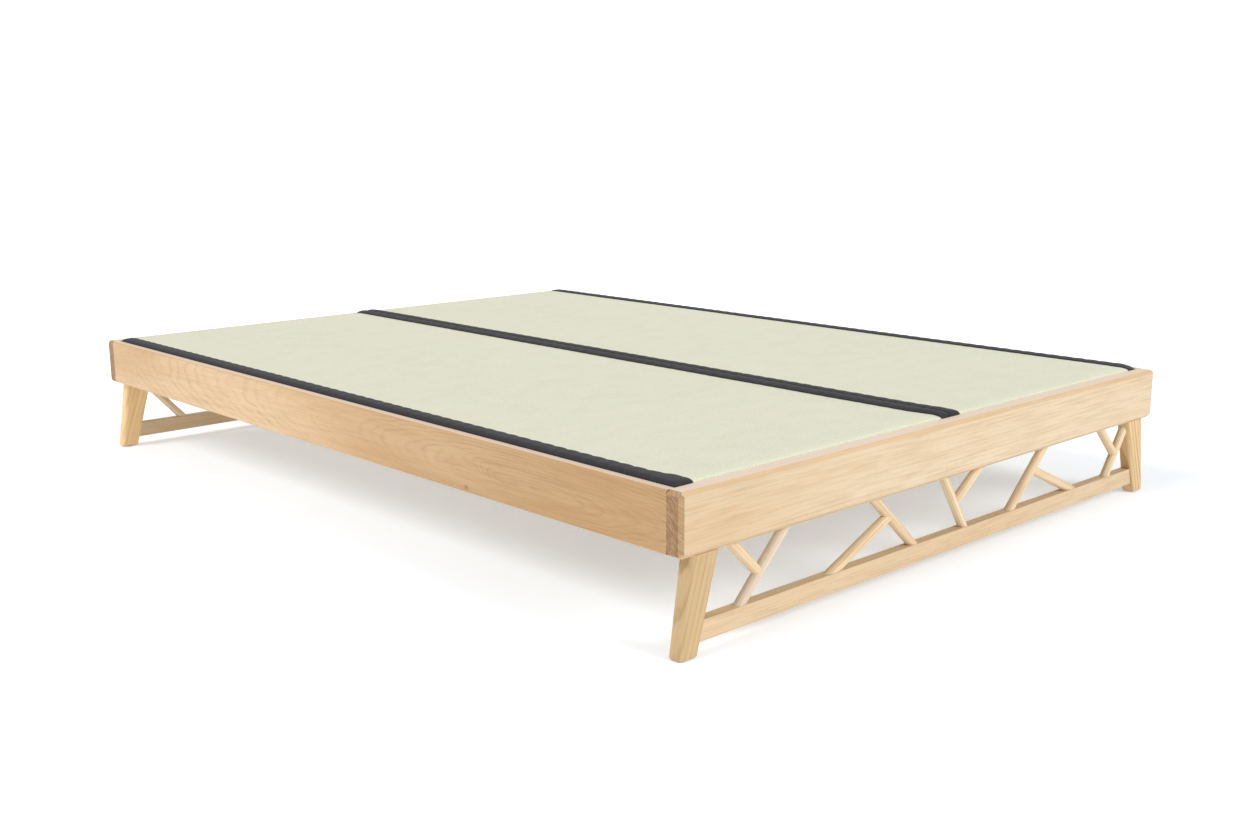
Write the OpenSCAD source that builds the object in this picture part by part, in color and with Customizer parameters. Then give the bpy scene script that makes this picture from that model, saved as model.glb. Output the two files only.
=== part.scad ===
// Low platform bed: two end boards on splayed legs, two side rails, a slatted base and two woven-rush mats.
// X runs across the bed, Y along it with the head at +Y, Z up. The origin is on the floor under the middle.

/* [Overall] */
// Outer width of the frame
bed_w = 1444; // [1240:2:1700]
// Outer length of the frame
bed_l = 1966; // [1860:2:2160]
// Height of the frame's top edge above the floor
frame_h = 265; // [255:1:300]

/* [End boards and rails] */
// Thickness of the end boards
board_t = 31; // [28:0.5:36]
// Height of the end boards
board_h = 102.5; // [95:0.5:110]
// Chamfer along the end boards' outer edges
board_chamfer = 6.5; // [3:0.5:9]
// Radius of the end boards' lower outer corners
board_corner_r = 10; // [7:0.5:14]
// Thickness of the side rails
rail_t = 18; // [16:0.5:24]
// Height of the side rails
rail_h = 100; // [92:0.5:106]
// Small bevel on the rails' long edges
rail_bevel = 2; // [1:0.5:4]

/* [Legs] */
// Gap between the side of the bed and the leg, at the top of the leg
leg_out_top = 28; // [20:1:36]
// Gap between the side of the bed and the leg, at the floor
leg_out_floor = 4.5; // [2:0.5:12]
// Width of the leg at the top
leg_w_top = 62.5; // [54:0.5:70]
// Width of the leg at the floor
leg_w_floor = 40; // [32:0.5:46]
// Thickness of the leg along the bed
leg_t = 28; // [26:0.5:30]
// Set-back of the leg from the end board's outer face
leg_setback = 5.5; // [4:0.5:7]
// Radius of the leg's upright edges
leg_edge_r = 8; // [5:0.5:10]
// Thickness of the felt pads under the feet
pad_t = 2; // [1:0.5:4]

/* [Stretchers and rods] */
// Height of the stretchers' underside above the floor
stretcher_z = 21; // [15:1:30]
// Height of the stretchers
stretcher_h = 33.5; // [28:0.5:38]
// Thickness of the stretchers
stretcher_t = 20; // [19.5:0.5:22]
// Diameter of the rods
rod_d = 18; // [15:0.5:19]
// Diameter of the round tenons on the rods' ends
rod_tenon_d = 12; // [8:0.5:14]
// Diameter of the pins that hold the side rods to the main rods
rod_pin_d = 8; // [6:0.5:10]

/* [Slatted base] */
// Number of slats
slat_count = 14; // [10:1:16]
// Width of a slat
slat_w = 70; // [50:1:90]
// Thickness of a slat
slat_t = 18; // [15:0.5:20]
// Width of the rail ledgers
ledger_w = 25; // [20:1:35]
// Height of the rail ledgers
ledger_h = 30; // [22:1:32]
// Width of the centre beam
beam_w = 60; // [50:1:80]
// Diameter of the centre leg
centre_leg_d = 45; // [38:1:50]

/* [Mats] */
// Thickness of a mat, from its underside to the woven top
mat_t = 55; // [48:1:58]
// How far the woven top stands above the frame
mat_proud = 5; // [2:1:12]
// Width of the cloth border on top of a mat
border_w = 29; // [24:1:36]

/* [Hidden] */
$fn = 64;
width_ratio = bed_w / 1444;         // the rods' places follow the width
half_w = bed_w / 2;
half_l = bed_l / 2;
board_z = frame_h - board_h;
rail_z = frame_h - rail_h;
inner_half_w = half_w - rail_t;
inner_half_l = half_l - board_t;
stretcher_top = stretcher_z + stretcher_h;
leg_mid_y = -half_l + leg_setback + leg_t / 2;
bar_mid_y = -half_l + 21;           // middle of the stretchers and rods, along the bed
slit = 0.05;                        // glue-line gap round turned parts
cut = 1;                            // how far a cutting shape runs past a face
slice_h = 0.01;                     // thickness of a slice that only shapes a hull
housing = 3;                        // depth to which a stretcher is let into a leg

// mats
mat_gap = 0.5;                      // between a mat and a rail, and half the gap between the mats
mat_top = frame_h + mat_proud;
mat_z = mat_top - mat_t;
mat_w = inner_half_w - 2 * mat_gap;
mat_half_l = inner_half_l - 2 * mat_gap;
rush_t = 1.2;
cloth_t = 1.5;
cloth_top_t = 1.2;
press_t = 0.2;                      // how far a border presses the rush down
backing_t = 1;

// slatted base
slat_z = mat_z - slat_t;
ledger_z = slat_z - ledger_h;
ledger_half_l = inner_half_l - 70;  // stops short of the corner brackets
ledger_screw_z = ledger_z + 8;      // low enough to pass under the slat screws' heads
end_screw_inset = 60;               // from a ledger's end to its last screw
slat_half_w = inner_half_w - 2;
slat_end_y = ledger_half_l - slat_w / 2;
slat_pitch = 2 * slat_end_y / (slat_count - 1);
hanger_t = 2.5;
hanger_ear = 35;                    // how far a hanger's flange stands out past the beam
hanger_seat_l = 45;
hanger_screw_x = beam_w / 2 + 18;
beam_z = board_z;
beam_h = slat_z - beam_z;
beam_half_l = inner_half_l - hanger_t;

ledger_screw_ys = [for (k = [-3:3]) k * (ledger_half_l - end_screw_inset) / 3];
slat_ys = [for (k = [0:slat_count - 1]) -slat_end_y + k * slat_pitch];

// hardware
dowel_d = 8;
dowel_l = 36;
dowel_x = half_w - rail_t / 2;
dowel_inset = 28;                   // from the rail's edges to its dowels
dowel_zs = [rail_z + dowel_inset, frame_h - dowel_inset];
bracket_l = 60;
bracket_board_l = 82;
bracket_h = 40;
bracket_t = 2.5;
bracket_z = rail_z + 7;
bracket_end = 12;                   // from the corner, and from the long arm's end, to its screws
rail_screw_y = -inner_half_l + bracket_l - 14;
plate_edge = 10;                    // from a plate's upper and lower edges to its screws
screw_d = 4;
screw_head_d = 8;
screw_head_h = 2.2;
screw_tip = 2;                      // length of a screw's pointed tip
ledger_screw_l = 37;
slat_screw_l = 35;
bracket_screw_l = 14;
bolt_d = 8;
bolt_l = 50;
foot_round = 2.5;                   // how far the legs' lower ends are rounded off
rail_arris = 1;                      // bevel on a rail's inner top edge
foot_inset = 8;                     // how far the centre leg is turned down at its foot
foot_bevel = 2;
leg_collar = 12;                    // straight stretch at the top of the centre leg
pad_d = 18;
centre_pad_d = centre_leg_d - 20;
tenon_w = 32;
tenon_t = 11;
tenon_h = 45;
bar_tenon_l = 20;
bar_tenon_h = 22;
bar_tenon_t = 10;
rod_over = 40;                      // how far a rod is drawn past its shoulder before it is trimmed
rod_in_leg = 10;                    // how deep the last main rod goes into the leg

// Each row is one pair of rods of an end frame, seen from outside that end, left to right:
// main rod's x on the stretcher, main rod's x at the board, side rod's free-end x,
// side rod's free end up at the board (1) or down on the stretcher (0), height of the joint.
foot_pairs = [
    [-570, -463, -597, 1, 97],
    [-116, -237, -340, 0, 120],
    [43, -27, 95, 1, 104],
    [203, 320, 425, 0, 121],
    [573, 653, 537, 1, 97]
];
head_pairs = [
    [-570, -463, -597, 1, 97],
    [-116, -237, -340, 0, 120],
    [43, -27, 95, 1, 104],
    [203, 320, 425, 0, 121],
    [554, 652, 540, 1, 113]
];

function lerp(a, b, t) = a + (b - a) * t;
// distance from the bed's side to the leg's outer and inner sides, at height z
function leg_out(z) = lerp(leg_out_floor, leg_out_top, z / board_z);
function leg_in(z) = lerp(leg_out_floor + leg_w_floor, leg_out_top + leg_w_top, z / board_z);
// points [x, z] on a pair of rods
function main_low(p) = [p[0] * width_ratio, stretcher_top];
function main_high(p) = [p[1] * width_ratio, board_z];
function joint(p) = lerp(main_low(p), main_high(p), (p[4] - stretcher_top) / (board_z - stretcher_top));
function side_end(p) = [p[2] * width_ratio, p[3] == 1 ? board_z : stretcher_top];
function along(a, b, d) = a + (b - a) / norm(b - a) * d;
// the last main rod leans into the leg's inner side instead of the board
function in_leg(p) = main_high(p)[0] > half_w - leg_in(board_z);
function leg_hit_t(p) =
    let (a = main_low(p), b = main_high(p))
    (half_w - leg_in(a[1]) - a[0]) / (b[0] - a[0] + leg_in(b[1]) - leg_in(a[1]));
function leg_hit(p) = lerp(main_low(p), main_high(p), leg_hit_t(p));

module oak(tone = 0) {
    color(tone == 0 ? "burlywood" : "wheat") children();
}

// a straight round bar between two [x, z] points in the rods' plane
module bar_between(a, b, d) {
    translate([a[0], bar_mid_y, a[1]])
        rotate([0, atan2(b[0] - a[0], b[1] - a[1]), 0])
            cylinder(d = d, h = norm(b - a));
}

// room for a rod through point a, reaching before towards point b and after the other way
module bar_through(a, b, before, after) {
    bar_between(along(a, b, before), along(a, b, -after), rod_d + 2 * slit);
}

// how far a rod's tenon reaches past the face it enters; a flatter rod needs more
function tenon_depth(a, b) = 15 + 9 * abs((b[0] - a[0]) / (b[1] - a[1]));

// the tenon of a rod that enters a face at one point and comes from another
module rod_tenon(face, from) {
    bar_between(along(face, from, rod_d), along(face, from, -tenon_depth(face, from)), rod_tenon_d);
}

module tenon_bore(face, from) {
    depth = tenon_depth(face, from) + slit;
    bar_between(along(face, from, rod_d), along(face, from, -depth), rod_tenon_d + 2 * slit);
}

// the space between stretcher and board, where the rods show
module rod_space() {
    translate([-half_w, -half_l, stretcher_top])
        cube([bed_w, board_t + rod_d, board_z - stretcher_top]);
}

// ---- end boards ----

module chamfer_cut(length) {
    rotate([45, 0, 0])
        cube([length, board_chamfer * sqrt(2), board_chamfer * sqrt(2)], center = true);
}

// outline of a board with its long edges, ends and corners worked
module board_blank() {
    difference() {
        translate([-half_w, -half_l, board_z])
            cube([bed_w, board_t, board_h]);
        for (z = [board_z, frame_h])
            translate([0, -half_l, z])
                chamfer_cut(bed_w + 2 * cut);
        for (x = [-half_w, half_w]) {
            translate([x, -half_l, frame_h - board_h / 2])
                rotate([0, 90, 0])
                    chamfer_cut(board_h + 2 * cut);
            translate([x, -half_l + board_t / 2, frame_h])
                rotate([0, 0, 90])
                    chamfer_cut(board_t + 2 * cut);
        }
        for (s = [-1, 1])
            translate([s * (half_w - board_corner_r), -half_l, board_z + board_corner_r])
                corner_cut(s);
    }
}

// what is taken off to round one lower corner and carry the chamfer round it
module corner_cut(s) {
    difference() {
        translate([s > 0 ? 0 : -board_corner_r - cut, -cut, -board_corner_r - cut])
            cube([board_corner_r + cut, board_t + 2 * cut, board_corner_r + cut]);
        rotate([-90, 0, 0])
            cylinder(r1 = board_corner_r - board_chamfer, r2 = board_corner_r, h = board_chamfer);
        translate([0, board_chamfer, 0])
            rotate([-90, 0, 0])
                cylinder(r = board_corner_r, h = board_t + 2 * cut);
    }
}

module board_sockets(pairs) {
    for (p = pairs) {
        if (!in_leg(p))
            tenon_bore(main_high(p), main_low(p));
        if (p[3] == 1)
            tenon_bore(side_end(p), joint(p));
    }
}

module board_mortise() {
    translate([-tenon_w / 2, leg_mid_y - tenon_t / 2, board_z - cut])
        cube([tenon_w, tenon_t, tenon_h + cut]);
}

module end_board(pairs) {
    difference() {
        board_blank();
        for (s = [-1, 1]) {
            translate([s * (half_w - leg_out_top - leg_w_top / 2), 0, 0])
                board_mortise();
            for (z = dowel_zs)
                translate([s * dowel_x, -half_l + board_t - dowel_l / 2, z])
                    rotate([-90, 0, 0])
                        cylinder(d = dowel_d + 2 * slit, h = dowel_l);
        }
        board_sockets(pairs);
        for (m = [0, 1])
            mirror([m, 0, 0]) at_board_screws() screw_hole(bracket_screw_l);
        at_hanger_screws() screw_hole(bracket_screw_l);
    }
}

module foot_board() {
    oak() end_board(foot_pairs);
}

module head_board() {
    oak() rotate([0, 0, 180]) end_board(head_pairs);
}

// ---- side rails ----

module side_rail() {
    difference() {
        translate([-half_w, 0, rail_z])
            rotate([90, 0, 0])
                linear_extrude(2 * inner_half_l, center = true)
                    polygon([
                        [rail_bevel, 0],
                        [rail_t, 0],
                        [rail_t, rail_h - rail_arris],
                        [rail_t - rail_arris, rail_h],
                        [rail_bevel, rail_h],
                        [0, rail_h - rail_bevel],
                        [0, rail_bevel]
                    ]);
        for (s = [-1, 1], z = dowel_zs)
            translate([-dowel_x, s * (inner_half_l + cut), z])
                rotate([s * 90, 0, 0])
                    cylinder(d = dowel_d + 2 * slit, h = dowel_l / 2 + slit + cut);
        for (m = [0, 1])
            mirror([0, m, 0]) at_rail_screws() screw_hole(bracket_screw_l);
        at_ledger_screws() screw_hole(ledger_screw_l);
    }
}

module side_rail_left() {
    oak(1) side_rail();
}

module side_rail_right() {
    oak(1) rotate([0, 0, 180]) side_rail();
}

module rail_dowels() {
    color("tan")
        for (sx = [-1, 1], sy = [-1, 1], z = dowel_zs)
            translate([sx * dowel_x, sy * inner_half_l, z])
                rotate([90, 0, 0])
                    cylinder(d = dowel_d, h = dowel_l - 2 * slit, center = true);
}

// ---- legs and stretchers ----

// a thin slice of the leg at height z, made smaller all round by inset
module leg_slice(z, inset = 0) {
    out_x = -half_w + leg_out(z) + inset;
    in_x = -half_w + leg_in(z) - inset;
    r = leg_edge_r - inset;
    for (x = [out_x + r, in_x - r], y = [-1, 1])
        translate([x, leg_mid_y + y * (leg_t / 2 - leg_edge_r), z])
            cylinder(r = r, h = slice_h, $fn = 32);
}

module leg_blank() {
    hull() {
        for (turn = [90, 60, 30, 0])
            leg_slice(pad_t + foot_round * (1 - sin(turn)), foot_round * (1 - cos(turn)));
        leg_slice(board_z - slice_h);
    }
    translate([-half_w + leg_out_top + (leg_w_top - tenon_w) / 2, leg_mid_y - tenon_t / 2, board_z - cut])
        cube([tenon_w, tenon_t, tenon_h + cut]);
}

// half-length of a stretcher's shoulder at height z
function shoulder_x(z) = half_w - leg_in(z) + housing;

module stretcher_body() {
    translate([0, bar_mid_y, 0])
        rotate([90, 0, 0])
            linear_extrude(stretcher_t, center = true)
                polygon([
                    [-shoulder_x(stretcher_z), stretcher_z],
                    [shoulder_x(stretcher_z), stretcher_z],
                    [shoulder_x(stretcher_top), stretcher_top],
                    [-shoulder_x(stretcher_top), stretcher_top]
                ]);
}

module stretcher_tenons() {
    tenon_half = shoulder_x(stretcher_z) + bar_tenon_l;
    translate([-tenon_half, bar_mid_y - bar_tenon_t / 2, stretcher_z + (stretcher_h - bar_tenon_h) / 2])
        cube([2 * tenon_half, bar_tenon_t, bar_tenon_h]);
}

// the foot end's left leg; a pair of rods that ends in the leg is given in the right leg's place
module leg(pairs = [], mirrored = false) {
    difference() {
        mirror([mirrored ? 1 : 0, 0, 0]) leg_blank();
        stretcher_body();
        stretcher_tenons();
        for (p = pairs)
            if (mirrored && in_leg(p))
                bar_through(leg_hit(p), main_low(p), rod_d, rod_in_leg);
    }
}

module leg_foot_left() {
    oak() leg();
}

module leg_foot_right() {
    oak() leg(foot_pairs, true);
}

module leg_head_left() {
    oak() rotate([0, 0, 180]) leg(head_pairs, true);
}

module leg_head_right() {
    oak() rotate([0, 0, 180]) leg();
}

module stretcher(pairs) {
    difference() {
        union() {
            stretcher_body();
            stretcher_tenons();
        }
        for (p = pairs) {
            tenon_bore(main_low(p), main_high(p));
            if (p[3] == 0)
                tenon_bore(side_end(p), joint(p));
        }
    }
}

module foot_stretcher() {
    oak() stretcher(foot_pairs);
}

module head_stretcher() {
    oak() rotate([0, 0, 180]) stretcher(head_pairs);
}

// ---- rods ----

module main_rod(p) {
    low = main_low(p);
    high = main_high(p);
    top = in_leg(p) ? along(leg_hit(p), high, rod_in_leg) : along(high, low, -rod_over);
    difference() {
        union() {
            intersection() {
                bar_between(along(low, high, -rod_over), top, rod_d);
                rod_space();
            }
            rod_tenon(low, high);
            if (!in_leg(p))
                rod_tenon(high, low);
        }
        bar_between(joint(p), along(joint(p), side_end(p), rod_d), rod_pin_d + 2 * slit);
    }
}

module side_rod(p) {
    end = side_end(p);
    difference() {
        intersection() {
            bar_between(joint(p), along(end, joint(p), -rod_over), rod_d);
            rod_space();
        }
        bar_through(joint(p), main_low(p), rod_over, rod_over);
    }
    bar_between(along(joint(p), end, 1), along(joint(p), end, 2 * rod_d), rod_pin_d);
    rod_tenon(end, joint(p));
}

module foot_rod(i) {
    oak(i % 2) main_rod(foot_pairs[i - 1]);
}

module foot_branch(i) {
    oak(1) side_rod(foot_pairs[i - 1]);
}

module head_rod(i) {
    oak(i % 2) rotate([0, 0, 180]) main_rod(head_pairs[i - 1]);
}

module head_branch(i) {
    oak(1) rotate([0, 0, 180]) side_rod(head_pairs[i - 1]);
}

// ---- slatted base ----

// a countersunk screw with its head's flat side at the origin and its point towards -Z
module screw(length) {
    rotate_extrude($fn = 32)
        polygon([
            [0, 0],
            [screw_head_d / 2, 0],
            [screw_d / 2, -screw_head_h],
            [screw_d / 2, screw_tip - length],
            [0, -length]
        ]);
}

// the hole that such a screw fills
module screw_hole(length) {
    rotate_extrude($fn = 32)
        polygon([
            [0, cut],
            [screw_head_d / 2 + slit, cut],
            [screw_head_d / 2 + slit, 0],
            [screw_d / 2 + slit, -screw_head_h],
            [screw_d / 2 + slit, screw_tip - length],
            [0, -length - slit]
        ]);
}

// places each ledger screw, head inward, in the left ledger
module at_ledger_screws() {
    for (y = ledger_screw_ys)
        translate([-inner_half_w + ledger_w, y, ledger_screw_z])
            rotate([0, 90, 0])
                children();
}

module at_slat_screws() {
    for (y = slat_ys, s = [-1, 1])
        translate([s * (inner_half_w - ledger_w / 2), y, mat_z])
            children();
}

module ledger() {
    difference() {
        translate([-inner_half_w, -ledger_half_l, ledger_z])
            cube([ledger_w, 2 * ledger_half_l, ledger_h]);
        at_ledger_screws() screw_hole(ledger_screw_l);
        at_slat_screws() screw_hole(slat_screw_l);
    }
}

module ledger_left() {
    color("tan") ledger();
}

module ledger_right() {
    color("tan") mirror([1, 0, 0]) ledger();
}

module slats() {
    color("moccasin")
        for (y = slat_ys)
            difference() {
                translate([-slat_half_w, y - slat_w / 2, slat_z])
                    cube([2 * slat_half_w, slat_w, slat_t]);
                for (s = [-1, 1])
                    translate([s * (inner_half_w - ledger_w / 2), y, mat_z])
                        screw_hole(slat_screw_l);
            }
}

module centre_beam() {
    color("tan")
        difference() {
            translate([-beam_w / 2, -beam_half_l, beam_z])
                cube([beam_w, 2 * beam_half_l, beam_h]);
            translate([0, 0, beam_z - cut])
                cylinder(d = bolt_d + 2 * slit, h = bolt_l / 2 + slit + cut);
        }
}

// a folded steel pocket that carries one end of the centre beam
module beam_hanger() {
    flange_w = beam_w + 2 * hanger_ear;
    difference() {
        union() {
            translate([-flange_w / 2, -inner_half_l, beam_z - hanger_t])
                cube([flange_w, hanger_t, beam_h]);
            translate([-beam_w / 2 - hanger_t, -inner_half_l, beam_z - hanger_t])
                cube([beam_w + 2 * hanger_t, hanger_seat_l, hanger_t]);
            for (x = [-beam_w / 2 - hanger_t, beam_w / 2])
                translate([x, -inner_half_l, beam_z - hanger_t])
                    cube([hanger_t, hanger_seat_l, beam_h]);
        }
        at_hanger_screws() screw_hole(bracket_screw_l);
    }
}

module at_hanger_screws() {
    for (s = [-1, 1], z = [plate_edge, beam_h - plate_edge])
        translate([s * hanger_screw_x, -inner_half_l + hanger_t, beam_z + z])
            rotate([-90, 0, 0])
                children();
}

module beam_hanger_foot() {
    color("silver") beam_hanger();
}

module beam_hanger_head() {
    color("silver") rotate([0, 0, 180]) beam_hanger();
}

module centre_leg() {
    color("burlywood")
        difference() {
            translate([0, 0, pad_t])
                rotate_extrude()
                    polygon([
                        [0, 0],
                        [centre_leg_d / 2 - foot_inset, 0],
                        [centre_leg_d / 2 - foot_inset + foot_bevel, foot_bevel],
                        [centre_leg_d / 2, board_z - pad_t - leg_collar],
                        [centre_leg_d / 2, board_z - pad_t],
                        [0, board_z - pad_t]
                    ]);
            translate([0, 0, board_z - bolt_l / 2 - slit])
                cylinder(d = bolt_d + 2 * slit, h = bolt_l);
        }
}

module centre_leg_bolt() {
    color("silver")
        translate([0, 0, board_z - bolt_l / 2])
            cylinder(d = bolt_d, h = bolt_l);
}

// ---- corner hardware ----

// an angle plate in the foot end's left corner
module corner_bracket() {
    difference() {
        union() {
            translate([-inner_half_w, -inner_half_l, bracket_z])
                cube([bracket_board_l, bracket_t, bracket_h]);
            translate([-inner_half_w, -inner_half_l, bracket_z])
                cube([bracket_t, bracket_l, bracket_h]);
        }
        at_board_screws() screw_hole(bracket_screw_l);
        at_rail_screws() screw_hole(bracket_screw_l);
    }
}

// either side of the leg's tenon inside the board
module at_board_screws() {
    for (x = [bracket_end, bracket_board_l - bracket_end], z = [plate_edge, bracket_h - plate_edge])
        translate([-inner_half_w + x, -inner_half_l + bracket_t, bracket_z + z])
            rotate([-90, 0, 0])
                children();
}

module at_rail_screws() {
    for (z = [plate_edge, bracket_h - plate_edge])
        translate([-inner_half_w + bracket_t, rail_screw_y, bracket_z + z])
            rotate([0, 90, 0])
                children();
}

module corner_bracket_foot_left() {
    color("silver") corner_bracket();
}

module corner_bracket_foot_right() {
    color("silver") mirror([1, 0, 0]) corner_bracket();
}

module corner_bracket_head_left() {
    color("silver") mirror([0, 1, 0]) corner_bracket();
}

module corner_bracket_head_right() {
    color("silver") rotate([0, 0, 180]) corner_bracket();
}

module bracket_screws() {
    color("dimgray")
        for (mx = [0, 1], my = [0, 1])
            mirror([mx, 0, 0]) mirror([0, my, 0]) {
                at_board_screws() screw(bracket_screw_l);
                at_rail_screws() screw(bracket_screw_l);
            }
}

module ledger_screws() {
    color("dimgray")
        for (m = [0, 1])
            mirror([m, 0, 0])
                at_ledger_screws() screw(ledger_screw_l);
}

module slat_screws() {
    color("dimgray") at_slat_screws() screw(slat_screw_l);
}

module hanger_screws() {
    color("dimgray")
        for (turn = [0, 180])
            rotate([0, 0, turn])
                at_hanger_screws() screw(bracket_screw_l);
}

module felt_pads() {
    color("dimgray") {
        for (sx = [-1, 1], sy = [-1, 1])
            translate([sx * (half_w - leg_out_floor - leg_w_floor / 2), sy * leg_mid_y, 0])
                cylinder(d = pad_d, h = pad_t);
        cylinder(d = centre_pad_d, h = pad_t);
    }
}

// ---- mats ----

// the left mat is drawn; the right one is its mirror image
mat_x0 = -inner_half_w + mat_gap;

module mat_core() {
    color("khaki")
        translate([mat_x0 + cloth_t, -mat_half_l + rush_t, mat_z + backing_t])
            cube([mat_w - 2 * cloth_t, 2 * (mat_half_l - rush_t), mat_t - backing_t - rush_t]);
}

module mat_backing() {
    color("gray")
        translate([mat_x0 + cloth_t, -mat_half_l + rush_t, mat_z])
            cube([mat_w - 2 * cloth_t, 2 * (mat_half_l - rush_t), backing_t]);
}

module mat_cover() {
    color("palegoldenrod")
        difference() {
            translate([mat_x0 + cloth_t, -mat_half_l, mat_z])
                cube([mat_w - 2 * cloth_t, 2 * mat_half_l, mat_t]);
            translate([mat_x0, -mat_half_l + rush_t, mat_z - cut])
                cube([mat_w, 2 * (mat_half_l - rush_t), mat_t - rush_t + cut]);
            for (x = [mat_x0, mat_x0 + mat_w - border_w])
                translate([x, -mat_half_l - cut, mat_top - press_t])
                    cube([border_w, 2 * (mat_half_l + cut), cut]);
        }
}

// an angle of cloth, down one long side and over the top edge
module mat_border() {
    color("darkslategray")
        difference() {
            translate([mat_x0, -mat_half_l, mat_z])
                cube([border_w, 2 * mat_half_l, mat_t + cloth_top_t]);
            translate([mat_x0 + cloth_t, -mat_half_l - cut, mat_z - cut])
                cube([border_w, 2 * (mat_half_l + cut), mat_t - press_t + cut]);
        }
}

module mat_border_far() {
    translate([2 * mat_x0 + mat_w, 0, 0])
        mirror([1, 0, 0])
            mat_border();
}

module mat_piece(piece) {
    if (piece == "core") mat_core();
    if (piece == "backing") mat_backing();
    if (piece == "cover") mat_cover();
    if (piece == "border_outer") mat_border();
    if (piece == "border_inner") mat_border_far();
}

module mat_right_piece(piece) {
    mirror([1, 0, 0]) mat_piece(piece);
}

foot_board();
head_board();
side_rail_left();
side_rail_right();
leg_foot_left();
leg_foot_right();
leg_head_left();
leg_head_right();
foot_stretcher();
head_stretcher();
for (i = [1:5]) {
    foot_rod(i);
    foot_branch(i);
    head_rod(i);
    head_branch(i);
}
ledger_left();
ledger_right();
centre_beam();
beam_hanger_foot();
beam_hanger_head();
centre_leg();
centre_leg_bolt();
slats();
rail_dowels();
corner_bracket_foot_left();
corner_bracket_foot_right();
corner_bracket_head_left();
corner_bracket_head_right();
bracket_screws();
ledger_screws();
slat_screws();
hanger_screws();
felt_pads();
for (piece = ["core", "backing", "cover", "border_outer", "border_inner"]) {
    mat_piece(piece);
    mat_right_piece(piece);
}
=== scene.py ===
import math

import bmesh
import bpy
import numpy as np
from mathutils import Matrix, Vector, noise


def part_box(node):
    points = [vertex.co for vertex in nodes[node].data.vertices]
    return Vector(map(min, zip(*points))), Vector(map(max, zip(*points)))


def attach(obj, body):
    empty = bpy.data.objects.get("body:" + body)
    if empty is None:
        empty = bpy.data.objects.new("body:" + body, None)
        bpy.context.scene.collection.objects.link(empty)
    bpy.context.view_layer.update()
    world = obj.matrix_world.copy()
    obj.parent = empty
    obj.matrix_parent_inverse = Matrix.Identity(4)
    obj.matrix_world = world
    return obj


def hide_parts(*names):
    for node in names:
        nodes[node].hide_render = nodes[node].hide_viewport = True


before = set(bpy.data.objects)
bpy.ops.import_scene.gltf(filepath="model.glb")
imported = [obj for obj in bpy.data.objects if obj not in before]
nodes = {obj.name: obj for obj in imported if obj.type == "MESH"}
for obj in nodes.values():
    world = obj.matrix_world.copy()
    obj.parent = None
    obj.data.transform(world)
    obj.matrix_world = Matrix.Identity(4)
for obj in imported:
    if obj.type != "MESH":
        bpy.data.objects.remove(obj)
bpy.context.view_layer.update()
print("frame loaded:", len(nodes), "nodes")

axisX, axisY, axisZ = Vector((1, 0, 0)), Vector((0, 1, 0)), Vector((0, 0, 1))


def colour(red, green, blue):  # display colour, 0 to 255, as the linear colour that sockets take
    parts = [part / 255 for part in (red, green, blue)]
    return tuple(part / 12.92 if part < 0.04 else ((part + 0.055) / 1.055) ** 2.4 for part in parts) + (1,)


# ---- camera, light and floor ----

cameraView = {
    "place": (-2.1081, -2.3366, 0.797),
    "heading": 43.238,  # degrees, clockwise from +Y
    "tilt": -12.156,
    "roll": -0.16,
    "lens": 40.118,  # mm, on a 36 mm sensor
}
lighting = {
    "backdrop": 1.05,
    "world": 0.5,
    "front": (1.65, (1.0, -3.0, 2.0), 30),  # strength, where it comes from, spread in degrees
    "side": (1.42, (-2.5, 0.7, 2.4), 24),
    "floor": (0.88, 0.92, 0.96, 1),
    "floorLift": 0.32,  # a glow that keeps the floor white and its shadows pale
    "liftReach": (-1.1, 0.4),  # the glow grows toward the bed's head between these places
    "footGlow": (0.79, 0.815, 0.87, 1),
    "headGlow": (0.97, 1.0, 1.07, 1),
    "clouding": (0.45, 0.45, 0.45, 1),
}


def makeCamera(view):
    bpy.ops.object.camera_add()
    camera = bpy.context.object
    camera.name = "camera"
    heading, tilt, roll = (math.radians(view[key]) for key in ("heading", "tilt", "roll"))
    turn = Matrix.Rotation(-heading, 4, "Z") @ Matrix.Rotation(math.pi / 2 + tilt, 4, "X")
    turn = turn @ Matrix.Rotation(roll, 4, "Z")
    camera.matrix_world = Matrix.Translation(view["place"]) @ turn
    camera.data.lens = view["lens"]
    camera.data.sensor_width = 36
    bpy.context.scene.camera = camera


def aimAtBed(lamp, place):
    lamp.rotation_euler = (-Vector(place)).to_track_quat("-Z", "Y").to_euler()


def addSun(name, strength, comesFrom, spread):
    data = bpy.data.lights.new(name, "SUN")
    data.energy = strength
    data.angle = math.radians(spread)
    lamp = bpy.data.objects.new(name, data)
    bpy.context.scene.collection.objects.link(lamp)
    aimAtBed(lamp, comesFrom)


def lightWorld():  # the backdrop shows whiter than the light it gives
    world = bpy.data.worlds.new("studio")
    world.use_nodes = True
    tree = world.node_tree
    tree.nodes.clear()
    start = Wire(tree, None, None)
    seen = start.node("LightPath", {}, {}, out="Is Camera Ray")
    strength = seen * (lighting["backdrop"] - lighting["world"]) + lighting["world"]
    glow = start.node("Background", {}, {"Color": (1, 1, 1, 1), "Strength": strength})
    output = tree.nodes.new("ShaderNodeOutputWorld")
    tree.links.new(glow.socket, output.inputs["Surface"])
    bpy.context.scene.world = world


makeCamera(cameraView)
addSun("frontSun", *lighting["front"])
addSun("sideSun", *lighting["side"])
bpy.context.scene.view_settings.view_transform = "Standard"
print("camera and lights set")


# ---- shader helpers ----

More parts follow.
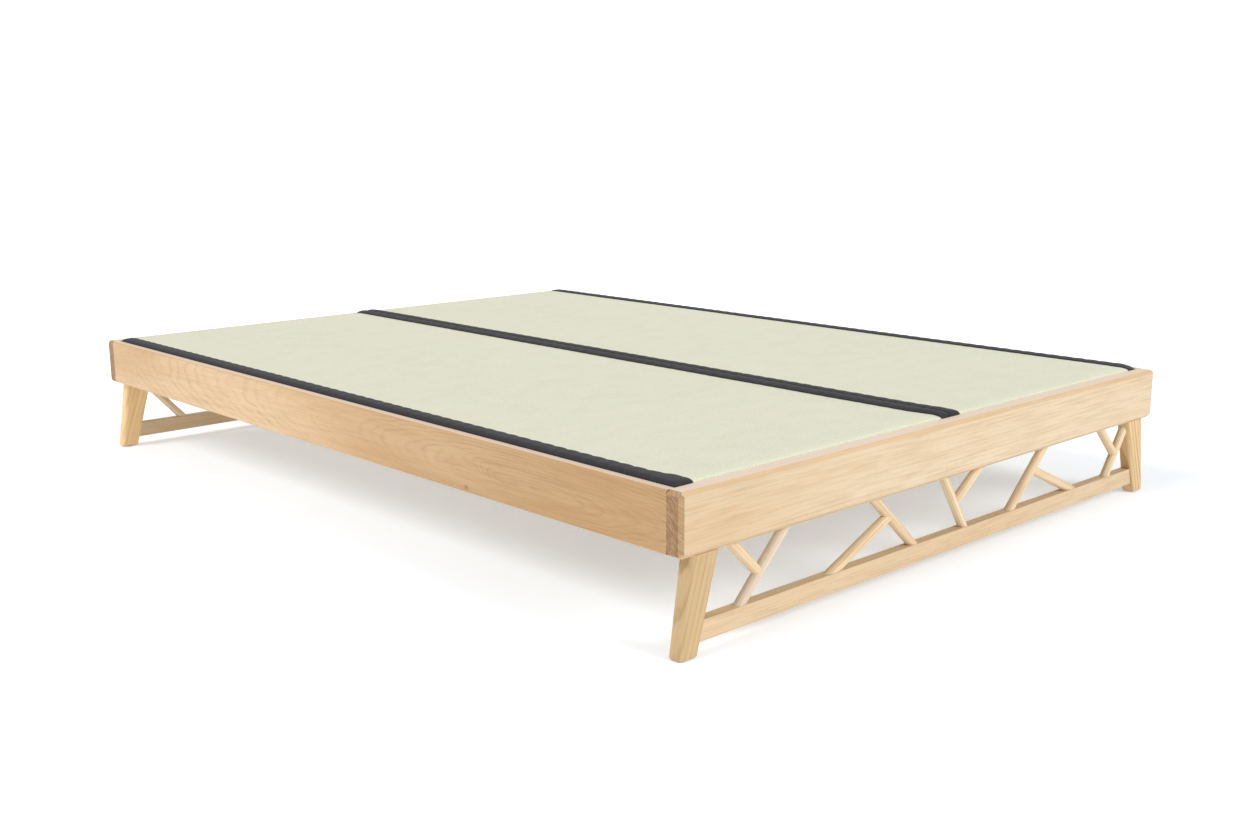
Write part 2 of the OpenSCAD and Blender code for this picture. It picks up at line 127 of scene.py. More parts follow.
class Wire:  # one node output that can be used in sums
    def __init__(self, tree, made, socket):
        self.tree = tree
        self.made = made
        self.socket = socket

    def node(self, kind, settings, inputs, out=0):  # any node, joined to wires or set to values
        made = self.tree.nodes.new("ShaderNode" + kind)
        for key, value in settings.items():
            setattr(made, key, value)
        for key, value in inputs.items():
            if isinstance(value, Wire):
                self.tree.links.new(value.socket, made.inputs[key])
            else:
                made.inputs[key].default_value = value
        return Wire(self.tree, made, made.outputs[out] if len(made.outputs) else None)

    def out(self, key):
        return Wire(self.tree, self.made, self.made.outputs[key])

    def maths(self, operation, *values):
        return self.node("Math", {"operation": operation}, dict(enumerate(values)))

    def __add__(self, other):
        return self.maths("ADD", self, other)

    def __sub__(self, other):
        return self.maths("SUBTRACT", self, other)

    def __mul__(self, other):
        return self.maths("MULTIPLY", self, other)

    def __truediv__(self, other):
        return self.maths("DIVIDE", self, other)

    def __pow__(self, other):
        return self.maths("POWER", self, other)

    def __rsub__(self, other):
        return self.maths("SUBTRACT", other, self)

    __radd__ = __add__
    __rmul__ = __mul__

    def vector(self, operation, *values):
        return self.node("VectorMath", {"operation": operation}, dict(enumerate(values)))

    def parts(self):
        made = self.node("SeparateXYZ", {}, {0: self})
        return made.out(0), made.out(1), made.out(2)

    def joined(self, *values):
        return self.node("CombineXYZ", {}, dict(enumerate(values)))

    def noise(self, scale, detail=2.0, stretch=(1, 1, 1), shift=0.0):
        place = self.vector("MULTIPLY_ADD", self, stretch, (shift, shift * 0.7, shift * 1.3))
        return self.node("TexNoise", {}, {"Vector": place, "Scale": scale, "Detail": detail})

    def smooth(self, low, high):
        settings = {"interpolation_type": "SMOOTHSTEP"}
        return self.node("MapRange", settings, {"Value": self, "From Min": low, "From Max": high})

    def mixed(self, factor, first, second, blend="MIX"):  # two colours
        settings = {"data_type": "RGBA", "blend_type": blend, "clamp_factor": True}
        return self.node("Mix", settings, {0: factor, 6: first, 7: second}, out=2)


lightWorld()


def startMaterial(name, kind="Object"):
    material = bpy.data.materials.new(name)
    material.use_nodes = True
    tree = material.node_tree
    tree.nodes.clear()
    return material, Wire(tree, None, None).node("TexCoord", {}, {}, out=kind)


def finishMaterial(coords, shade, rough, height, relief, fixed=None):
    bump = coords.node("Bump", {}, {"Height": height, "Strength": 0.6, "Distance": relief})
    inputs = {"Base Color": shade, "Roughness": rough, "Normal": bump}
    shader = coords.node("BsdfPrincipled", {}, {**inputs, **(fixed or {})})
    coords.node("OutputMaterial", {}, {"Surface": shader})


def wear(name, material):  # puts a material on a carried-over node
    for slot in nodes[name].material_slots:
        slot.material = material


# ---- wood ----

oak = {
    "pale": colour(221, 200, 168),
    "deep": colour(188, 152, 108),
    "warm": colour(210, 176, 132),
    "end": colour(137, 98, 61),
    "pore": colour(150, 112, 76),
    "edge": colour(210, 168, 118),
    "top": colour(236, 216, 198),  # faces that point up are painted paler and pinker: painted top light
    "ringStep": 0.008,
    "ringDepth": 0.3,
    "pith": (0.0, -0.16),  # where the tree's centre lies, across the grain from the piece's middle
    "lean": (0.0, 0.01),  # how far that centre drifts per metre of length
    "wave": 0.008,
    "ripple": 0.0024,
    "streaks": 1.1,
    "warmth": 0.5,
    "flecks": 0.2,
    "drift": (2.0, 3.0),  # places along the grain between which the wood turns darker: partly its own tone, partly painted shade
    "darkerToneAndShade": (0.71, 0.63, 0.51, 1),
    "relief": 0.0002,
    "rough": 0.5,
}
stretches = {  # how many times per metre each pattern varies, along and across the grain
    "sway": (1.3, 6, 6),
    "ripple": (16, 44, 44),
    "fade": (3, 14, 14),
    "fibre": (9, 330, 330),
    "streak": (11, 120, 120),
    "pore": (34, 700, 700),
    "patch": (1.6, 9, 9),
}
sawMarks = {"coarse": 60, "fine": 420}
knotReach = 12  # how far a knot bends the rings, in knot sizes
# the boards are painted darker toward their left ends: painted shade
boardWood = {"edges": 0.4, "drift": (0.1, -0.8), "darkerToneAndShade": (0.94, 0.91, 0.87, 1)}
railWood = {
    "pale": colour(224, 190, 147),
    "deep": colour(190, 149, 102),
    "warm": colour(204, 162, 111),
    "ringStep": 0.0055,
    "ringDepth": 0.45,
    "pith": (0.09, 0.012),
    "lean": (0.12, 0.03),
    "wave": 0.028,
    "ripple": 0.0085,
    "streaks": 0.85,
    "warmth": 0.7,
    # the rail turns darker and more golden toward the foot end: partly the wood's tone, partly painted
    # shade
    "drift": (0.25, -0.75),
}
legWood = {
    "pale": colour(221, 189, 138),
    "deep": colour(182, 138, 86),
    "ringStep": 0.011,
    "ringDepth": 1.1,
    "pith": (0.03, 0.2),
    "lean": (0.0, 0.004),
    "wave": 0.0025,
    "ripple": 0.0008,
    "streaks": 0.6,
    "warmth": 0.4,
}
rodWood = {
    "pale": colour(236, 214, 178),
    "deep": colour(194, 154, 104),
    "ringStep": 0.0042,
    "ringDepth": 0.6,
    "pith": (0.03, 0.02),
    "lean": (0.01, 0.006),
    "wave": 0.001,
    "ripple": 0.0003,
    "warmth": 0.45,
}
paleRodWood = {
    "pale": colour(222, 204, 182),
    "deep": colour(196, 171, 141),
    "ringDepth": 0.5,
    "warmth": 0.1,
}
barWood = {
    "pale": colour(216, 190, 154),
    "deep": colour(186, 150, 106),
    "ringStep": 0.0055,
    "pith": (0.02, -0.09),
    "wave": 0.003,
    "flecks": 0.3,
}
slatWood = {
    "pale": colour(240, 224, 196),
    "deep": colour(214, 184, 142),
    "warm": colour(226, 196, 150),
    "ringStep": 0.009,
    "ringDepth": 0.8,
    "pith": (0.01, 0.07),
    "lean": (0.0, 0.02),
    "wave": 0.008,
    "flecks": 0.1,
    "rough": 0.62,
}


def woodMaterial(name, wood, centre, grain, seed):
    look = {**oak, **wood}
    material, coords = startMaterial(name)
    turn = grain.rotation_difference(axisX)
    settled = {"Vector": coords, "Location": -(turn.to_matrix() @ centre), "Rotation": turn.to_euler()}
    piece = coords.node("Mapping", {}, settled)
    lengthwise, across, up = piece.parts()

    # growth rings round a wandering centre
    sway = piece.noise(1.0, 1.0, stretches["sway"], seed) - 0.5
    ripple = piece.noise(1.0, 3.0, stretches["ripple"], seed + 3) - 0.5
    fromPithY = across - look["pith"][0] - lengthwise * look["lean"][0]
    fromPithZ = up - look["pith"][1] - lengthwise * look["lean"][1]
    radius = (fromPithY * fromPithY + fromPithZ * fromPithZ) ** 0.5
    rings = (radius + sway * look["wave"] + ripple * look["ripple"]) / look["ringStep"] + seed
    knot = None
    if look.get("knot"):
        knotPlace, knotHeight, knotSize = look["knot"]
        fromKnot, aboveKnot = lengthwise - knotPlace, up - knotHeight
        knotAway = (fromKnot * fromKnot * 0.6 + aboveKnot * aboveKnot) ** 0.5
        rings = rings + (1 - knotAway.smooth(0.0, knotSize * knotReach)) * 6
        knot = (1 - knotAway.smooth(knotSize * 0.3, knotSize)) * 0.6
    turnOfYear = rings.maths("FRACT", rings)
    late = turnOfYear.smooth(0.45, 0.9) - turnOfYear.smooth(0.9, 1.0)
    year = rings.node("TexWhiteNoise", {"noise_dimensions": "1D"}, {"W": rings.maths("FLOOR", rings)})
    fade = piece.noise(1.0, 1.0, stretches["fade"], seed + 8).smooth(0.3, 0.65)
    ringShade = late * (0.3 + 0.7 * year) * (0.3 + 0.7 * fade) * look["ringDepth"]

    # fibres, pores and slow changes of tone
    fibre = piece.noise(1.0, 3.0, stretches["fibre"], seed + 1)
    streak = piece.noise(1.0, 4.0, stretches["streak"], seed + 4) - 0.5
    fine = piece.noise(1.0, 2.0, stretches["pore"], seed + 2)
    pores = fine.smooth(0.6, 0.72) * look["flecks"]
    patch = piece.noise(1.0, 2.0, stretches["patch"], seed + 5).smooth(0.35, 0.7) * look["warmth"]
    shade = piece.mixed(patch, look["pale"], look["warm"])
    grainShade = ringShade + (fibre - 0.5) * 0.75 + streak * look["streaks"] + 0.1
    shade = piece.mixed(grainShade, shade, look["deep"])
    shade = piece.mixed(pores, shade, look["pore"])
    if knot:
        shade = piece.mixed(knot, shade, look["pore"])
    # darker toward one end of the piece: partly the wood's own tone, partly painted shade
    shade = piece.mixed(lengthwise.smooth(*look["drift"]), shade, look["darkerToneAndShade"], "MULTIPLY")

    # sawn ends are darker, with diagonal saw marks; chamfers and other sloped faces get a darker, warmer
    # tone
    facing = coords.out("Normal")
    grainward = facing.node("VectorMath", {"operation": "DOT_PRODUCT"}, {0: facing, 1: grain}, out="Value")
    ends = grainward.maths("ABSOLUTE", grainward).smooth(0.4, 0.9)
    alongSaw, acrossSaw = (across + up) * sawMarks["coarse"], (across - up) * sawMarks["fine"]
    sawPlace = piece.joined(lengthwise, alongSaw, acrossSaw)
    sawn = sawPlace.noise(1.0, 2.0, (1, 1, 1), seed)
    endShade = piece.mixed(sawn.smooth(0.35, 0.7) * 0.7 + ringShade * 0.3, look["end"], look["deep"])
    flat = facing.vector("ABSOLUTE", facing)
    flatX, flatY, flatZ = flat.parts()
    slope = 1 - flatX.maths("MAXIMUM", flatZ, flatX.maths("MAXIMUM", flatX, flatY))
    if look.get("edges"):
        shade = piece.mixed(slope.smooth(0.04, 0.2) * look["edges"], shade, look["edge"])
        # faces that point up are painted paler and pinker, a painted top light
        shade = piece.mixed(facing.parts()[2].smooth(0.85, 0.99) * 0.75, shade, look["top"])
    shade = piece.mixed(ends, shade, endShade)

    height = fibre * 0.6 + late * 0.4 - pores * 0.8 + sawn * ends
    finishMaterial(coords, shade, look["rough"] + (fibre - 0.5) * 0.2, height, look["relief"])
    return material


def middleOf(name):
    low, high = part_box(name)
    return (low + high) / 2


def lengthOf(name):  # the direction in which a node is longest
    points = np.array([vertex.co for vertex in nodes[name].data.vertices])
    direction = np.linalg.svd(points - points.mean(0), full_matrices=False)[2][0]
    return Vector(direction * np.sign(direction[2] + 1e-6)).normalized()


def litAndShadedWood(wood, amount):  # the same wood painted lighter or darker: painted light and shade
    look = {**oak, **wood}
    changed = {part: tuple(c * amount for c in look[part][:3]) + (1,) for part in ("pale", "deep", "warm")}
    return {**wood, **changed}


def dressWood(name, wood, grain, seed):
    wear(name, woodMaterial(name + "Wood", wood, middleOf(name), grain, seed))


# each leg's wood is painted lighter or darker, standing in for the light and shade that falls unevenly on
# the legs
legLightAndShade = {"leg_foot_left": 0.81, "leg_head_left": 1.38, "leg_head_right": 1.05}
legBands = {"leg_head_left": 0.65}  # a plank with fainter rings
railKnots = {"left": (-0.466, -0.041, 0.006)}  # place along the rail, height from its middle, size
railEdges = 0.35
for end, seed in (("foot", 2.0), ("head", 9.0)):
    dressWood(end + "_board", boardWood, axisX, seed)
    dressWood(end + "_stretcher", barWood, axisX, seed + 20)
    for number in range(1, 6):
        rod, branch = f"{end}_rod_{number}", f"{end}_branch_{number}"
        pale = {**rodWood, **paleRodWood} if number == 1 else rodWood
        dressWood(rod, pale, lengthOf(rod), seed + number * 1.7)
        dressWood(branch, rodWood, lengthOf(branch), seed + number * 2.3)
    for side, shift in (("left", 0.4), ("right", 0.9)):
        leg = f"leg_{end}_{side}"
        wood = {**legWood, "ringDepth": legBands.get(leg, legWood["ringDepth"])}
        dressWood(leg, litAndShadedWood(wood, legLightAndShade.get(leg, 1.0)), lengthOf(leg), seed * 3 + shift)
for side, seed in (("left", 4.0), ("right", 6.5)):
    wood = {**railWood, "edges": railEdges, "knot": railKnots.get(side)}
    dressWood("side_rail_" + side, wood, axisY, seed)
    dressWood("ledger_" + side, slatWood, axisY, seed + 7)
dressWood("centre_beam", slatWood, axisY, 31.0)
dressWood("slats", slatWood, axisX, 17.0)
dressWood("rail_dowels", rodWood, axisY, 5.0)
dressWood("centre_leg", legWood, axisZ, 12.0)
print("wood finished")


# ---- metal and felt ----

def metalMaterial(name, base, rough):
    material, coords = startMaterial(name)
    spangle = coords.node("TexVoronoi", {}, {"Vector": coords, "Scale": 240.0})
    cloud = coords.noise(60.0, 3.0)
    shade = coords.mixed(cloud.smooth(0.3, 0.7) * 0.5, base, colour(150, 152, 156))
    finishMaterial(coords, shade, rough + cloud * 0.2, spangle + cloud, 0.00005, {"Metallic": 1.0})
    return material


def feltMaterial(name, base):
    material, coords = startMaterial(name)
    hairs = coords.noise(900.0, 4.0)
    shade = coords.mixed(hairs.smooth(0.3, 0.7), base, colour(168, 150, 124))
    finishMaterial(coords, shade, 0.95 - hairs * 0.1, hairs, 0.0004, {"Sheen Weight": 0.4})
    return material


zinc = metalMaterial("zincSteel", colour(202, 204, 208), 0.28)
darkZinc = metalMaterial("screwSteel", colour(176, 168, 150), 0.32)
for name in nodes:
    if "bracket" in name or "hanger" in name or name == "centre_leg_bolt":
        wear(name, zinc)
    if name.endswith("screws"):
        wear(name, darkZinc)
wear("felt_pads", feltMaterial("feltBeige", colour(196, 178, 150)))
print("metal and felt finished")


# ---- mats ----

mat = {
    "rushTop": 0.27,
    "underside": 0.215,
    "halfLength": 0.951,
    "endRadius": 0.0035,
    "tail": 0.035,  # how far covers are folded under the mat
    "borderWidth": 0.029,
    "stitchGap": 0.031,
    "outerCrown": 0.0016,
    "innerCrown": 0.0042,
    "step": 0.005,
    "endDrop": 0.0042,  # the ends are rounded down where the rush is pulled over them
    "endReach": 0.024,
    "corner": {"LeftOuter": 1, "RightOuter": -1},  # the end at which the outer corner is pulled down
    "cornerDrop": 0.007,
    "cornerReach": 0.035,
    "cornerWidth": 0.03,
    "coverInset": 0.0022,  # the cover stops this far inside the borders' outer faces
    "coverStep": 0.012,
    "coverThickness": 0.0011,
    "borderThickness": 0.0009,
    "backingInset": 0.006,
    "backingStep": 0.02,
    "backingThickness": 0.0004,
    "coreBevel": 0.007,
    "flare": {"LeftOuter": 0.009, "LeftInner": -0.008, "RightOuter": 0.004, "RightInner": 0.004},
}
border = {
    "shoulder": 0.0065,  # radius where the border turns down the mat's side
    "hem": 0.0004,
    "stitchLift": 0.0009,
    "stitchSwell": 0.0017,
    "wander": 0.0009,
    "sideHeights": (0.255, 0.25, 0.24, 0.23, 0.221),
    "sideInset": 0.0004,
    "turnUnder": 0.003,  # radius where the border turns under the mat
    "flareReach": (0.02, 0.06),  # the flare is whole for the first length and fades over the second
    "rowsNearEnd": (0.0, 0.001, 0.0025, 0.0045, 0.007, 0.01),
    "flapDrops": (0.0, 0.0008, 0.002, 0.006, 0.014, 0.026, 0.038, 0.044, 0.047, 0.05, 0.053, 0.06),
    "flapOut": 0.0006,
    "flapLength": 0.05,
}
rush = {
    "strandPitch": 0.0017,
    "columnPitch": 0.0155,
    "green": colour(234, 236, 215),
    "straw": colour(246, 240, 223),
    # darker strands, also the painted shade in the weave's hollows
    "darkStrandAndShade": colour(182, 186, 148),
    "relief": 0.0006,
}
backingCloth = {
    "face": colour(196, 196, 190),
    # painted shade in the weave's grooves and the puckers' hollows
    "grooveShade": colour(150, 150, 146),
    # specks of dust, and a painted highlight on raised puckers
    "dustAndHighlight": colour(214, 214, 210),
    "relief": 0.0002,
}
cloth = {
    "face": colour(47, 45, 52),
    # painted shade in the weave's grooves and the puckers' hollows
    "grooveShade": colour(25, 24, 28),
    # specks of dust, and a painted highlight on raised puckers
    "dustAndHighlight": colour(74, 71, 80),
    "threads": 1500.0,
    "relief": 0.0004,
}


def rushMaterial():
    material, coords = startMaterial("wovenRush", "UV")
    across, lengthwise, _ = coords.parts()
    strand = lengthwise / rush["strandPitch"]
    row = strand.maths("FLOOR", strand)
    column = across / rush["columnPitch"] + row * 0.5
    hump = column.maths("ABSOLUTE", column.maths("SINE", column * math.pi))
    swell = strand.maths("ABSOLUTE", strand.maths("SINE", strand * math.pi))
    cell = coords.joined(row, column.maths("FLOOR", column), 0.0)
    own = coords.node("TexWhiteNoise", {"noise_dimensions": "3D"}, {"Vector": cell})
    drift = coords.noise(2.2, 3.0)
    cloud = coords.noise(14.0, 4.0, (1, 1.6, 1))
    shade = coords.mixed(own * 0.6 + drift.smooth(0.3, 0.7) * 0.3, rush["green"], rush["straw"])
    grain = coords.noise(1.0, 3.0, (210, 330, 1))
    shade = coords.mixed((cloud - 0.5) * 0.35 + (grain - 0.5) * 1.2 + 0.08, shade, rush["darkStrandAndShade"])
    # the hollows between strands and between rows get painted shade
    hollowShade = (1 - swell ** 0.5) * 0.45 + (1 - hump) * 0.25
    shade = coords.mixed(hollowShade, shade, rush["darkStrandAndShade"])
    height = swell * 0.7 + hump * 0.5 + own * 0.15
    finishMaterial(coords, shade, 0.62 - own * 0.12, height, rush["relief"])
    return material


def clothMaterial(name, look):
    material, coords = startMaterial(name, "UV")
    across, lengthwise, _ = coords.parts()
    weft = across.maths("SINE", across * (cloth["threads"] * math.pi))
    warp = across.maths("SINE", lengthwise * (cloth["threads"] * math.pi))
    weave = (weft * warp).smooth(-1.0, 1.0)
    puckers = coords.noise(1.0, 3.0, (26, 90, 1))
    dust = coords.noise(420.0, 2.0).smooth(0.62, 0.75)
    # the thread grooves and the hollows of the puckers get painted shade
    shade = coords.mixed(weave * 0.5 + puckers.smooth(0.3, 0.7) * 0.35, look["grooveShade"], look["face"])
    # specks of dust are lighter, and the raised puckers get a painted highlight
    shade = coords.mixed(dust * 0.25 + puckers.smooth(0.55, 0.8) * 0.2, shade, look["dustAndHighlight"])
    height = weave * 0.25 + puckers
    finishMaterial(coords, shade, 0.85 - weave * 0.1, height, look["relief"], {"Sheen Weight": 0.08})
    return material


def boardMaterial():
    material, coords = startMaterial("pressedCore")
    flakes = coords.node("TexVoronoi", {}, {"Vector": coords.vector("MULTIPLY", coords, (140, 140, 400))})
    grit = coords.noise(600.0, 3.0)
    shade = coords.mixed(flakes * 0.6 + grit * 0.5, colour(176, 146, 104), colour(206, 178, 134))
    finishMaterial(coords, shade, 0.9 - grit * 0.1, grit, 0.0004)
    return material


def gridPiece(name, rows):  # a sheet through rows of points, each with its place on the flat cloth
    shape = bmesh.new()
    flatPlace = shape.loops.layers.uv.new("flat")
    made = [[shape.verts.new(point) for point, _ in row] for row in rows]
    for i in range(len(rows) - 1):
        for j in range(len(rows[i]) - 1):
            corners = ((i, j), (i + 1, j), (i + 1, j + 1), (i, j + 1))
            face = shape.faces.new([made[a][b] for a, b in corners])
            face.smooth = True
            for loop, (a, b) in zip(face.loops, corners):
                loop[flatPlace].uv = rows[a][b][1]
    mesh = bpy.data.meshes.new(name)
    shape.to_mesh(mesh)
    shape.free()
    piece = bpy.data.objects.new(name, mesh)
    bpy.context.scene.collection.objects.link(piece)
    return piece


def joinPieces(first, *others):
    bpy.ops.object.select_all(action="DESELECT")
    for piece in (first, *others):
        piece.select_set(True)
    bpy.context.view_layer.objects.active = first
    bpy.ops.object.join()
    return first


def thicken(piece, thickness):  # the sheet's back goes on the side its normals point away from
    solid = piece.modifiers.new("thickness", "SOLIDIFY")
    solid.thickness = thickness
    solid.offset = -1
    bpy.context.view_layer.objects.active = piece
    bpy.ops.object.modifier_apply(modifier="thickness")


def stations(length, step):  # even places along a length, its two ends included
    count = max(2, round(length / step))
    return [length * i / count for i in range(count + 1)]


def wrapPath(halfLength, low, top, tail, radius, step):  # (y, z, flat length) under, round and over a mat
    path = [(-halfLength + radius + tail * (1 - i / 6), low) for i in range(6)]
    for centreZ, start in ((low + radius, -90), (top - radius, 180)):
        for i in range(6):
            angle = math.radians(start - 90 * i / 5)
            y = -halfLength + radius + radius * math.cos(angle)
            path.append((y, centreZ + radius * math.sin(angle)))
    half = halfLength - radius
    even = stations(2 * half, step)[2:-2]
    near = [0.002, 0.004, 0.007, 0.01, 0.014, 0.019]
    places = near + even + [2 * half - place for place in reversed(near)]
    middle = [(-half + place, top) for place in places]
    path = path + middle + [(-y, z) for y, z in reversed(path)]
    walked, out = 0.0, []
    for i, (y, z) in enumerate(path):
        if i:
            walked += math.hypot(y - path[i - 1][0], z - path[i - 1][1])
        out.append((y, z, walked))
    return out


def endDrop(y):
    fromEnd = min(max(0.0, mat["halfLength"] - abs(y)), mat["endReach"])
    return mat["endDrop"] * (1 - math.sqrt(max(0.0, 1 - (1 - fromEnd / mat["endReach"]) ** 2)))


def cornerPull(y, inset, corner):  # how far a mat's loose corner is pulled down
    if corner * y <= 0:
        return 0.0
    fromEnd = max(0.0, mat["halfLength"] - abs(y))
    nearEnd = max(0.0, 1 - fromEnd / mat["cornerReach"]) ** 2
    nearSide = max(0.0, 1 - max(inset, 0) / mat["cornerWidth"])
    return mat["cornerDrop"] * nearEnd * nearSide


def makeCover(side, leftEdge, rightEdge, seed):
    corner = mat["corner"][side + "Outer"]
    halfLength, low = mat["halfLength"] - 0.0006, mat["underside"] + 0.0003
    path = wrapPath(halfLength, low, mat["rushTop"], mat["tail"], mat["endRadius"], mat["coverStep"])
    inset = mat["coverInset"]
    width = rightEdge - leftEdge - 2 * inset
    rows = []
    for y, z, walked in path:
        row = []
        for place in stations(width, mat["coverStep"]):
            x = leftEdge + inset + place
            rise = 0.0005 * noise.noise(Vector((x * 7, y * 5, seed))) if z > mat["rushTop"] - 0.001 else 0
            nearBorder = min(place, width - place) - mat["borderWidth"]
            press = 0.0009 * math.exp(-max(nearBorder, 0) / 0.008)
            sink = (press if z > 0.269 else 0) + (endDrop(y) if z > 0.26 else 0)
            fromOuter = place + inset if side == "Left" else width - place + inset
            sink += cornerPull(y, fromOuter, corner) * min(max(0.0, (z - 0.25) / 0.018), 1.0)
            row.append((Vector((x, y, z + rise - sink)), (place, walked)))
        rows.append(row)
    piece = gridPiece(f"mat{side}Cover", rows)
    turnOut(piece)
    thicken(piece, mat["coverThickness"])
    return piece, (width, path[-1][2])


def turnOut(piece):  # turns a sheet's faces away from the middle of the bed's base
    middle = Vector((sum((v.co.x for v in piece.data.vertices)) / len(piece.data.vertices), 0, 0.243))
    turned = sum(1 if face.normal.dot(face.center - middle) > 0 else -1 for face in piece.data.polygons)
    if turned < 0:
        piece.data.flip_normals()


def borderSection(y, crown, overhang, flare, corner, seed):
    # points across a border, each a distance in from the mat's edge and a height
    fromEnd = max(0.0, mat["halfLength"] - abs(y))
    stitch = abs(math.sin(math.pi * y / mat["stitchGap"])) ** 0.6
    drift = noise.noise(Vector((y * 4, seed, 0.3)))
    wholeUpTo, fadeOver = border["flareReach"]
    spread = min(1.0, max(0.0, 1 - (fromEnd - wholeUpTo) / fadeOver)) if y < 0 else 0.0
    width = mat["borderWidth"] + border["stitchSwell"] * stitch - 0.0008 + border["wander"] * drift
    width += flare * spread * spread * (3 - 2 * spread)
    top = mat["rushTop"] - endDrop(y)
    hem = border["hem"] + border["stitchLift"] * stitch
    crown = crown * (1 + 0.2 * drift + 0.12 * noise.noise(Vector((y * 18, seed, 4))))
    shoulder = border["shoulder"]
    points = [(width - 0.003, top - 0.0012), (width - 0.0002, top - 0.0004), (width, top + hem * 0.6)]
    points.append((width - 0.0009, top + hem + 0.0004))
    for i in range(1, 12):
        t = i / 12
        d = (width - 0.001) + (shoulder - width + 0.001) * t
        ridge = math.sin(math.pi * min(1.0, 0.08 + t * 0.62))
        points.append((d, top + hem + 0.0004 + crown * ridge))
    edgeTop = points[-1][1]
    for i in range(7):
        angle = math.radians(90 + 90 * i / 6)
        fromEdge = shoulder + (shoulder + overhang) * math.cos(angle)
        points.append((fromEdge, edgeTop - shoulder + shoulder * math.sin(angle)))
    points = [(d, z - cornerPull(y, d, corner)) for d, z in points]
    low, inset, radius = mat["underside"] + 0.0002, border["sideInset"], border["turnUnder"]
    points += [(inset, z) for z in border["sideHeights"]]
    for i in range(4):
        angle = math.radians(180 + 90 * i / 3)
        points.append((inset + radius + radius * math.cos(angle), low + radius + radius * math.sin(angle)))
    for i in range(1, 5):
        points.append((inset + radius + mat["tail"] * i / 4 * 0.9, low))
    return points


def makeBorder(side, where, edge, inward, crown, overhang, seed):
    half = mat["halfLength"]
    flare, corner = mat["flare"][side + where], mat["corner"].get(side + where, 0)
    fine = list(border["rowsNearEnd"])
    inner = [place + 0.014 for place in stations(2 * (half - 0.014), mat["step"])]
    places = fine + inner + [2 * half - place for place in reversed(fine)]
    rows = []
    for place in places:
        y = place - half
        row, walked, last = [], 0.0, None
        for d, z in borderSection(y, crown, overhang, flare, corner, seed):
            if last:
                walked += math.hypot(d - last[0], z - last[1])
            last = (d, z)
            row.append((Vector((edge + inward * d, y, z)), (walked, place + 0.08)))
        rows.append(row)
    sheet = gridPiece(f"mat{side}Border{where}", rows)
    flaps = []
    for row, sign in ((rows[0], -1), (rows[-1], 1)):
        upper = row[1:19]
        down = []
        for drop in border["flapDrops"]:
            out = border["flapOut"] * (1 - math.exp(-drop / 0.001))
            line = []
            for point, flat in upper:
                z = max(mat["underside"] + 0.0006, point.z - drop)
                bend = max(0.0, mat["underside"] + mat["endRadius"] - z)
                tuck = mat["endRadius"] - math.sqrt(max(0.0, mat["endRadius"] ** 2 - bend ** 2))
                place = Vector((point.x, point.y + sign * (out - tuck), z))
                line.append((place, (flat[0], flat[1] + sign * drop)))
            down.append(line)
        flaps.append(gridPiece("flap", down))
    piece = joinPieces(sheet, *flaps)
    mergeAndTurn(piece, edge + inward * 0.1)
    thicken(piece, mat["borderThickness"])
    sectionLength = rows[40][-1][1][0]
    return piece, (sectionLength, 2 * half + 2 * border["flapLength"])


def mergeAndTurn(piece, innerX):
    shape = bmesh.new()
    shape.from_mesh(piece.data)
    bmesh.ops.remove_doubles(shape, verts=shape.verts, dist=0.00005)
    bmesh.ops.recalc_face_normals(shape, faces=shape.faces)
    middle = Vector((innerX, 0, 0.243))
    faces = shape.faces
    outward = sum(1 if face.normal.dot(face.calc_center_median() - middle) > 0 else -1 for face in faces)
    if outward < 0:
        bmesh.ops.reverse_faces(shape, faces=shape.faces)
    shape.to_mesh(piece.data)
    shape.free()


def makeCore(side, node):
    low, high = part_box(node)
    bpy.ops.object.select_all(action="DESELECT")
    middle, size = (low + high) / 2, high - low
    bpy.ops.mesh.primitive_cube_add(size=1, location=middle + Vector((0, 0, 0.0002)))
    piece = bpy.context.object
    piece.name = f"mat{side}Core"
    piece.scale = (size.x - 0.004, size.y - 0.004, size.z - 0.0022)
    bpy.ops.object.transform_apply(location=True, rotation=False, scale=True)
    bpy.ops.object.mode_set(mode="EDIT")
    bpy.ops.mesh.select_all(action="SELECT")
    bpy.ops.mesh.bevel(offset=mat["coreBevel"], segments=4, affect="EDGES")
    bpy.ops.object.mode_set(mode="OBJECT")
    bpy.ops.object.shade_smooth_by_angle(angle=math.radians(30))
    return piece


def makeBacking(side, leftEdge, rightEdge, seed):
    inset, step = mat["backingInset"], mat["backingStep"]
    width, length = rightEdge - leftEdge - 2 * inset, 2 * mat["halfLength"] - 2 * inset
    rows = []
    for v in stations(length, step):
        row = []
        for u in stations(width, step):
            x, y = leftEdge + inset + u, v - length / 2
            sag = 0.00025 * noise.noise(Vector((x * 6, y * 6, seed)))
            row.append((Vector((x, y, mat["underside"] + 0.0009 + sag)), (u, v)))
        rows.append(row)
    piece = gridPiece(f"mat{side}Backing", rows)
    if piece.data.polygons[0].normal.z > 0:
        piece.data.flip_normals()
    thicken(piece, mat["backingThickness"])
    return piece, (width, length)


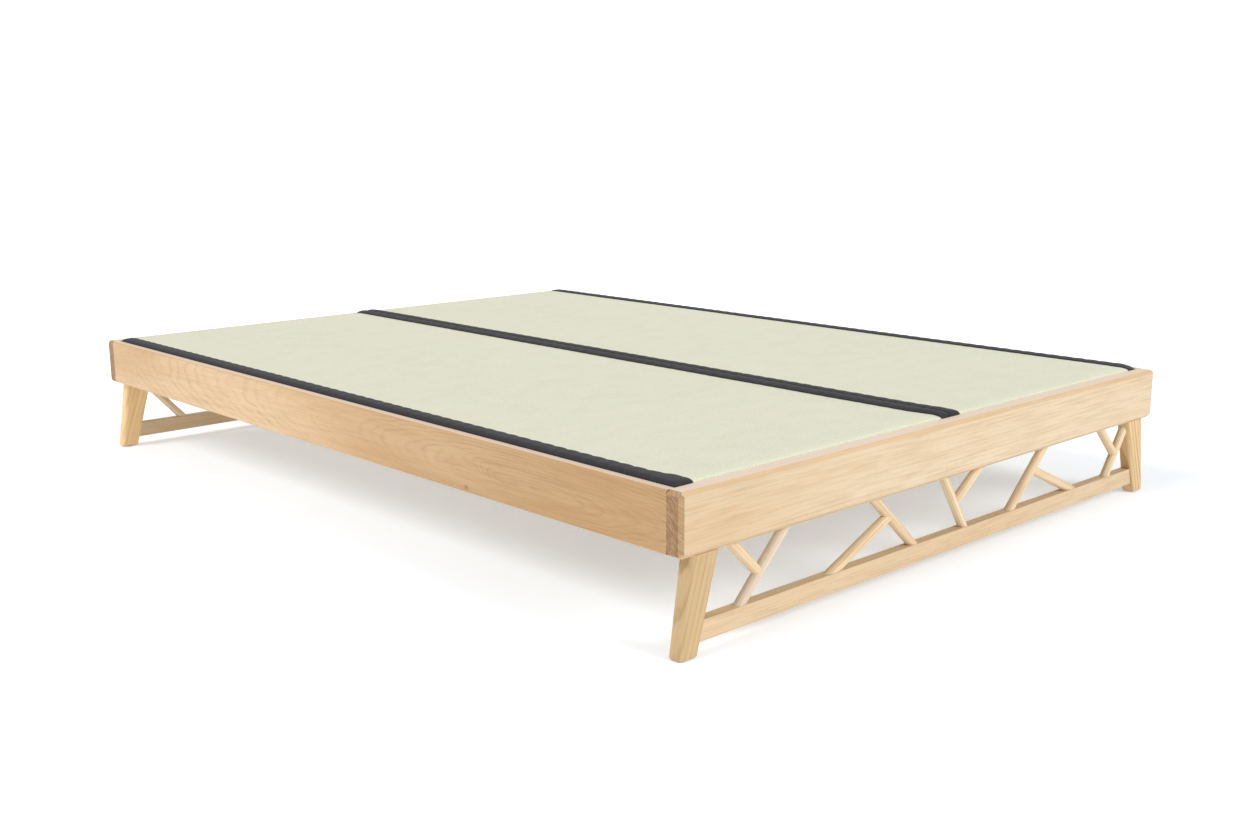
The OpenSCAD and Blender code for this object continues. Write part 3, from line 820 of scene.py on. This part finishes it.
rushFinish = rushMaterial()
borderFinish = clothMaterial("borderCloth", cloth)
backingFinish = clothMaterial("backingCloth", backingCloth)
coreFinish = boardMaterial()

for side, sign, seed in (("Left", -1, 3.0), ("Right", 1, 8.0)):
    body = "mat_" + side.lower()
    low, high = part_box(body + "_border_outer")
    outerEdge = low.x if sign < 0 else high.x
    low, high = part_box(body + "_border_inner")
    innerEdge = high.x if sign < 0 else low.x
    leftEdge, rightEdge = min(outerEdge, innerEdge), max(outerEdge, innerEdge)

    cover, coverFlat = makeCover(side, leftEdge, rightEdge, seed)
    outer, outerFlat = makeBorder(side, "Outer", outerEdge, -sign, mat["outerCrown"], 0.0009, seed + 1)
    inner, innerFlat = makeBorder(side, "Inner", innerEdge, sign, mat["innerCrown"], 0.0, seed + 2)
    core = makeCore(side, body + "_core")
    backing, backingFlat = makeBacking(side, leftEdge, rightEdge, seed)

    for piece, finish, slot, node in (
        (cover, rushFinish, "woven_rush", "cover"),
        (outer, borderFinish, "border_cloth", "border_outer"),
        (inner, borderFinish, "border_cloth", "border_inner"),
        (core, coreFinish, "mat_core", "core"),
        (backing, backingFinish, "mat_backing", "backing"),
    ):
        piece.data.materials.clear()
        piece.data.materials.append(finish)
        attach(piece, body)
        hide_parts(f"{body}_{node}")
    print("mat", side, "made")


# ---- floor ----

bpy.ops.object.select_all(action="DESELECT")
bpy.ops.mesh.primitive_plane_add(size=60, location=(0, 0, 0))
floor = bpy.context.object
floor.name = "floor"
floorFinish, floorCoords = startMaterial("paleFloor")
clouding = floorCoords.noise(3.0, 2.0)
floorShade = floorCoords.mixed(clouding * 0.05, lighting["floor"], lighting["clouding"])
towardHead = floorCoords.parts()[1].smooth(*lighting["liftReach"])
glowShade = floorCoords.mixed(towardHead, lighting["footGlow"], lighting["headGlow"])
glow = {"Emission Color": glowShade, "Emission Strength": lighting["floorLift"]}
glow["Specular IOR Level"] = 0.0
finishMaterial(floorCoords, floorShade, 0.9, clouding, 0.0001, glow)
floor.data.materials.append(floorFinish)

print("all made")
